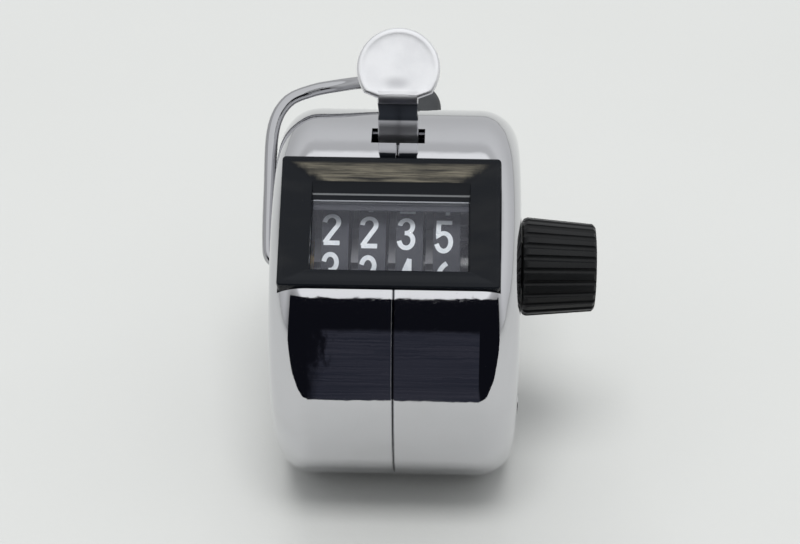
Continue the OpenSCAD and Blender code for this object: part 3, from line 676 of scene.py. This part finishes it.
def pad_rings():
    sweep = math.pi + 2 * PAD_SHOULDER
    outline = [(PAD_R * math.cos(a), PAD_REACH + PAD_R * math.sin(a)) for a in
               (-PAD_SHOULDER + sweep * k / ARC_STEPS for k in range(ARC_STEPS + 1))]
    last_x, last_y = outline[-1]
    for k in range(1, SIDE_STEPS + 1):
        t = k / SIDE_STEPS
        outline.append((last_x * (1 - t) - NECK_W / 2 * t, last_y * (1 - t) + PAD_FOOT * t))
    for k in range(1, SIDE_STEPS):
        outline.append((-NECK_W / 2 + NECK_W * k / SIDE_STEPS, PAD_FOOT))
    for k in range(SIDE_STEPS):
        t = k / SIDE_STEPS
        outline.append((NECK_W / 2 * (1 - t) - last_x * t, PAD_FOOT * (1 - t) + last_y * t))
    mid = Vector((0, PAD_REACH - 0.4))
    rings = []
    for by, z in PAD_PROFILE:
        ring = []
        for x, y in outline:
            p = Vector((x, y))
            way = (mid - p).normalized()
            p = p + way * min(by, (mid - p).length - 0.2)
            ring.append(at(*(FOLD + Vector((p.x, 0, 0)) + PAD_UP * p.y + PAD_OUT * z)))
        rings.append(ring)
    return rings


skin("thumb_lever_pressing", strip_rings(), satin, "thumb_lever",
     stands_for=("thumb_lever",))
skin("thumb_pad", pad_rings(), satin, "thumb_lever")

# %% [markdown]
# ## Figures on the wheels
# Figures on such wheels are drawn with one round pen, so each is a list of strokes, and a
# stroke is a ribbon of even width. The ribbon is laid round the drum and given a hair's
# thickness, like paint that fills a shallow mould mark. Strokes that meet at a sharp corner
# are laid one over the other. The same ten figures serve all wheels.

# %% Strokes of the ten figures
def arc(x, y, rx, ry, start, end, steps=20):
    turns = (math.radians(start + (end - start) * k / steps) for k in range(steps + 1))
    return [(x + rx * math.cos(a), y + ry * math.sin(a)) for a in turns]


SIX = [arc(0.5, 0.58, 0.5, 0.58, 0, 360, 32), arc(1.02, 0.62, 1.02, 1.4, 112, 180)]
FIGURES = {
    0: [arc(0.5, 1, 0.5, 1, 0, 360, 36)],
    1: [[(0.15, 1.62), (0.58, 2.0)], [(0.58, 2.0), (0.58, 0)]],
    2: [arc(0.5, 1.48, 0.5, 0.52, 172, -38) + [(0.08, 0.08)], [(0.06, 0), (1.02, 0)]],
    3: [arc(0.48, 1.5, 0.46, 0.5, 165, -90), arc(0.48, 0.5, 0.5, 0.5, 90, -165)],
    4: [[(0.74, 0), (0.74, 1.95)], [(0.72, 1.95), (0.04, 0.6)], [(0.04, 0.55), (1.04, 0.55)]],
    5: [[(0.96, 2.0), (0.1, 2.0), (0.06, 1.02)] + arc(0.46, 0.6, 0.52, 0.6, 128, -158)],
    6: SIX,
    7: [[(0, 2.0), (0.98, 2.0)], [(0.96, 1.95), (0.34, 0)]],
    8: [arc(0.5, 1.5, 0.42, 0.48, 0, 360, 32), arc(0.5, 0.52, 0.5, 0.52, 0, 360, 32)],
    9: [[(1 - x, 2 - y) for x, y in stroke] for stroke in SIX],
}
print("strokes", {figure: len(strokes) for figure, strokes in FIGURES.items()})

# %% Lay the figures round each drum
WHEEL_R = 8.2
FIGURE_W, FIGURE_H, PEN = 1.62, 3.76, 0.56
FIGURE_PITCH = 36
STROKE_STEP, PEN_END = 0.25, 0.3
PAINT_UNDER, PAINT_OVER = -0.05, 0.04
# For each wheel: the figure that shows, its turn in degrees and its shift to the side.
SHOWN = {"thousands": (2, 3.3, -0.45), "hundreds": (2, 1.1, -0.4),
         "tens": (3, 0.0, -0.36), "units": (5, -2.2, -0.3)}
SHOWN_AT = 61.8


def on_drum(x, turn, radius):
    return at(x, AXLE.y - radius * math.cos(turn), AXLE.z + radius * math.sin(turn))


def ribbon(bm, stroke, x0, turn0):
    """One pen stroke as a thin closed band on the drum, in steps short enough to follow it."""
    corners = [Vector(((x - 0.5) * FIGURE_W, (y - 1) * FIGURE_H / 2)) for x, y in stroke]
    places = corners[:1]
    for a, b in zip(corners, corners[1:]):
        parts = max(1, math.ceil((b - a).length / STROKE_STEP))
        places += [a.lerp(b, k / parts) for k in range(1, parts + 1)]
    whole = (places[0] - places[-1]).length < 1e-6
    if whole:
        places = places[:-1]
    count, rings = len(places), []
    for i, p in enumerate(places):
        if whole:
            came, goes = p - places[i - 1], places[(i + 1) % count] - p
        else:
            came = p - places[i - 1] if i else places[1] - p
            goes = places[i + 1] - p if i < count - 1 else came
        came, goes = came.normalized(), goes.normalized()
        across = (came + goes).normalized()
        across = Vector((-across.y, across.x))
        half = PEN / 2 / max(abs(across.dot(Vector((-came.y, came.x)))), 0.55)
        if not whole and i == 0:
            p = p - came * PEN * PEN_END
        if not whole and i == count - 1:
            p = p + goes * PEN * PEN_END
        ring = []
        for side, lift in ((1, PAINT_UNDER), (1, PAINT_OVER), (-1, PAINT_OVER), (-1, PAINT_UNDER)):
            q = p + across * half * side
            ring.append(bm.verts.new(on_drum(x0 + q.x, turn0 + q.y / WHEEL_R, WHEEL_R + lift)))
        rings.append(ring)
    for low, high in zip(rings, rings[1:] + (rings[:1] if whole else [])):
        for k in range(4):
            m = (k + 1) % 4
            bm.faces.new((low[k], low[m], high[m], high[k]))
    if not whole:
        bm.faces.new(rings[0][::-1])
        bm.faces.new(rings[-1])


for name, (shown, late, aside) in SHOWN.items():
    low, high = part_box(f"{name}_wheel")
    x_mid = (low.x + high.x) / 2 / MM + aside
    figures = bmesh.new()
    for figure, strokes in FIGURES.items():
        turn = math.radians(SHOWN_AT + late + FIGURE_PITCH * (shown - figure))
        for stroke in strokes:
            ribbon(figures, stroke, x_mid, turn)
    put(f"{name}_figures", figures, bpy.data.meshes.new(f"{name}_figures"), paint,
        f"{name}_wheel")

# %% [markdown]
# ## Floor, card and light
# The counter stands on a plain pale table under soft, even light. Chrome shows only what is
# round it, so a dark card stands in for whatever dark thing its front mirrored. The card
# shows in mirrors alone: it is hidden from the camera and shades nothing. The room behind it is
# dim as well, so little light comes from low in front and the contact shadow stays deep.

# %% Lay the floor
def flat_piece(name, points, faces, material):
    mesh = bpy.data.meshes.new(name)
    mesh.from_pydata([Vector(p) * MM for p in points], [], faces)
    mesh.materials.append(material)
    piece = bpy.data.objects.new(name, mesh)
    bpy.context.scene.collection.objects.link(piece)
    return piece


paper = Finish("table_top")
paper_cloud = paper.noise(60.0, 3.0)
paper_tooth = paper.noise(0.6, 3.0)
paper.surface(Base_Color=paper.mix(paper_cloud, (0.44, 0.445, 0.433, 1), (0.46, 0.465, 0.455, 1)),
              Roughness=0.75 + paper_tooth * 0.1, Normal=paper.bump(paper_tooth, 0.02))
TABLE = 3000
table_corners = [(x * TABLE, y * TABLE, 0) for x, y in ((-1, -1), (1, -1), (1, 1), (-1, 1))]
flat_piece("floor", table_corners, [(0, 1, 2, 3)], paper.material)

# %% Stand the dark card in front
CARD_FAR = -235.0
CARD_SIGHT = math.radians(34)
CARD_TOP = MIDDLE.z + (-CARD_FAR - CASING_R) * math.tan(CARD_SIGHT)
CARD_SIDES = (-1, 1.06)
CARD_EDGE = ((-54, 13), (-55, 19), (-58, 27), (-64, 40), (-76, 62), (-100, 106), (CARD_FAR, 325))
card_points = [(side * half, y, 0.5) for y, half in CARD_EDGE for side in CARD_SIDES]
card_points += [(side * CARD_EDGE[-1][1], CARD_FAR, CARD_TOP) for side in CARD_SIDES]
card_faces = [(k, k + 1, k + 3, k + 2) for k in range(0, len(card_points) - 2, 2)]

card_cloth = Finish("dark_card")
streak = card_cloth.noise(5.0, 5.0, (0.2, 1.6, 1.6), 0.65)
glow = card_cloth.mix(streak.step(0.25, 0.8), (0.016, 0.02, 0.032, 1), (0.056, 0.056, 0.074, 1))
spots = {axis: card_cloth.add("ShaderNodeSeparateXYZ", None, {0: card_cloth.place}, out=axis)
         for axis in "XYZ"}
half_lit = 9.6 - spots["Y"] * 0.05
border = ((spots["X"] - 1.5).math("ABSOLUTE") - half_lit).step(0, 2.5)
border = border.math("MAXIMUM", spots["Z"].step(66.0, 80.0))
glow = card_cloth.mix(border, glow, (0.006, 0.0065, 0.010, 1))
card_cloth.surface(Base_Color=(0, 0, 0, 1), Roughness=1.0, Specular_IOR_Level=0.0,
                   Emission_Color=glow, Emission_Strength=1.0)
card = flat_piece("dark_card", card_points, card_faces, card_cloth.material)
card.visible_camera = card.visible_shadow = card.visible_diffuse = False
print("card top at", round(CARD_TOP, 1), "mm")

# %% Light the room
CEILING_LEAN = 0.176
room = Finish("light_tent", backdrop=True)
ahead = room.add("ShaderNodeVectorMath", {"operation": "DOT_PRODUCT"},
                 {0: room.place, 1: (0, -CEILING_LEAN * MM, MM)}, out="Value")
across = room.add("ShaderNodeVectorMath", {"operation": "DOT_PRODUCT"},
                  {0: room.place, 1: (MM, 0, 0)}, out="Value")
front = room.add("ShaderNodeSeparateXYZ", None, {0: room.place}, out="Y") * -MM
height = room.add("ShaderNodeSeparateXYZ", None, {0: room.place}, out="Z") * MM
shade = front.step(0.3, 0.7) * (1 - height.step(0.3, 0.52))
ceiling = ahead.step(0.60, 0.66)
edge = ahead.step(0.42, 0.56) * (1 - ceiling)
tint = room.add("ShaderNodeBackground", None, {
    "Color": (0.97, 0.985, 1.0, 1),
    "Strength": (0.62 + ahead.step(-0.1, 0.45) * 0.17 + ceiling * 0.36 - edge * 0.14
                 + across * 0.06) * (1 - shade * 0.75)})
room.tree.links.new(tint.socket, room.output.inputs["Surface"])
bpy.context.scene.world = room.material


def softbox(name, place, size, watts, colour=(1, 1, 1)):
    light = bpy.data.lights.new(name, "AREA")
    light.shape, light.size, light.size_y = "RECTANGLE", size[0] * MM, size[1] * MM
    light.energy, light.color = watts, colour
    lamp = bpy.data.objects.new(name, light)
    bpy.context.scene.collection.objects.link(lamp)
    lamp.location = Vector(place) * MM
    lamp.rotation_mode = "QUATERNION"
    lamp.rotation_quaternion = (Vector(place) - MIDDLE).to_track_quat("Z", "Y")
    lamp.visible_glossy = False


softbox("key_softbox", (10, -290, 880), (420, 260), 5.6)
softbox("back_softbox", (-100, 700, 700), (600, 400), 3.0)
bpy.context.scene.view_settings.view_transform = "Standard"
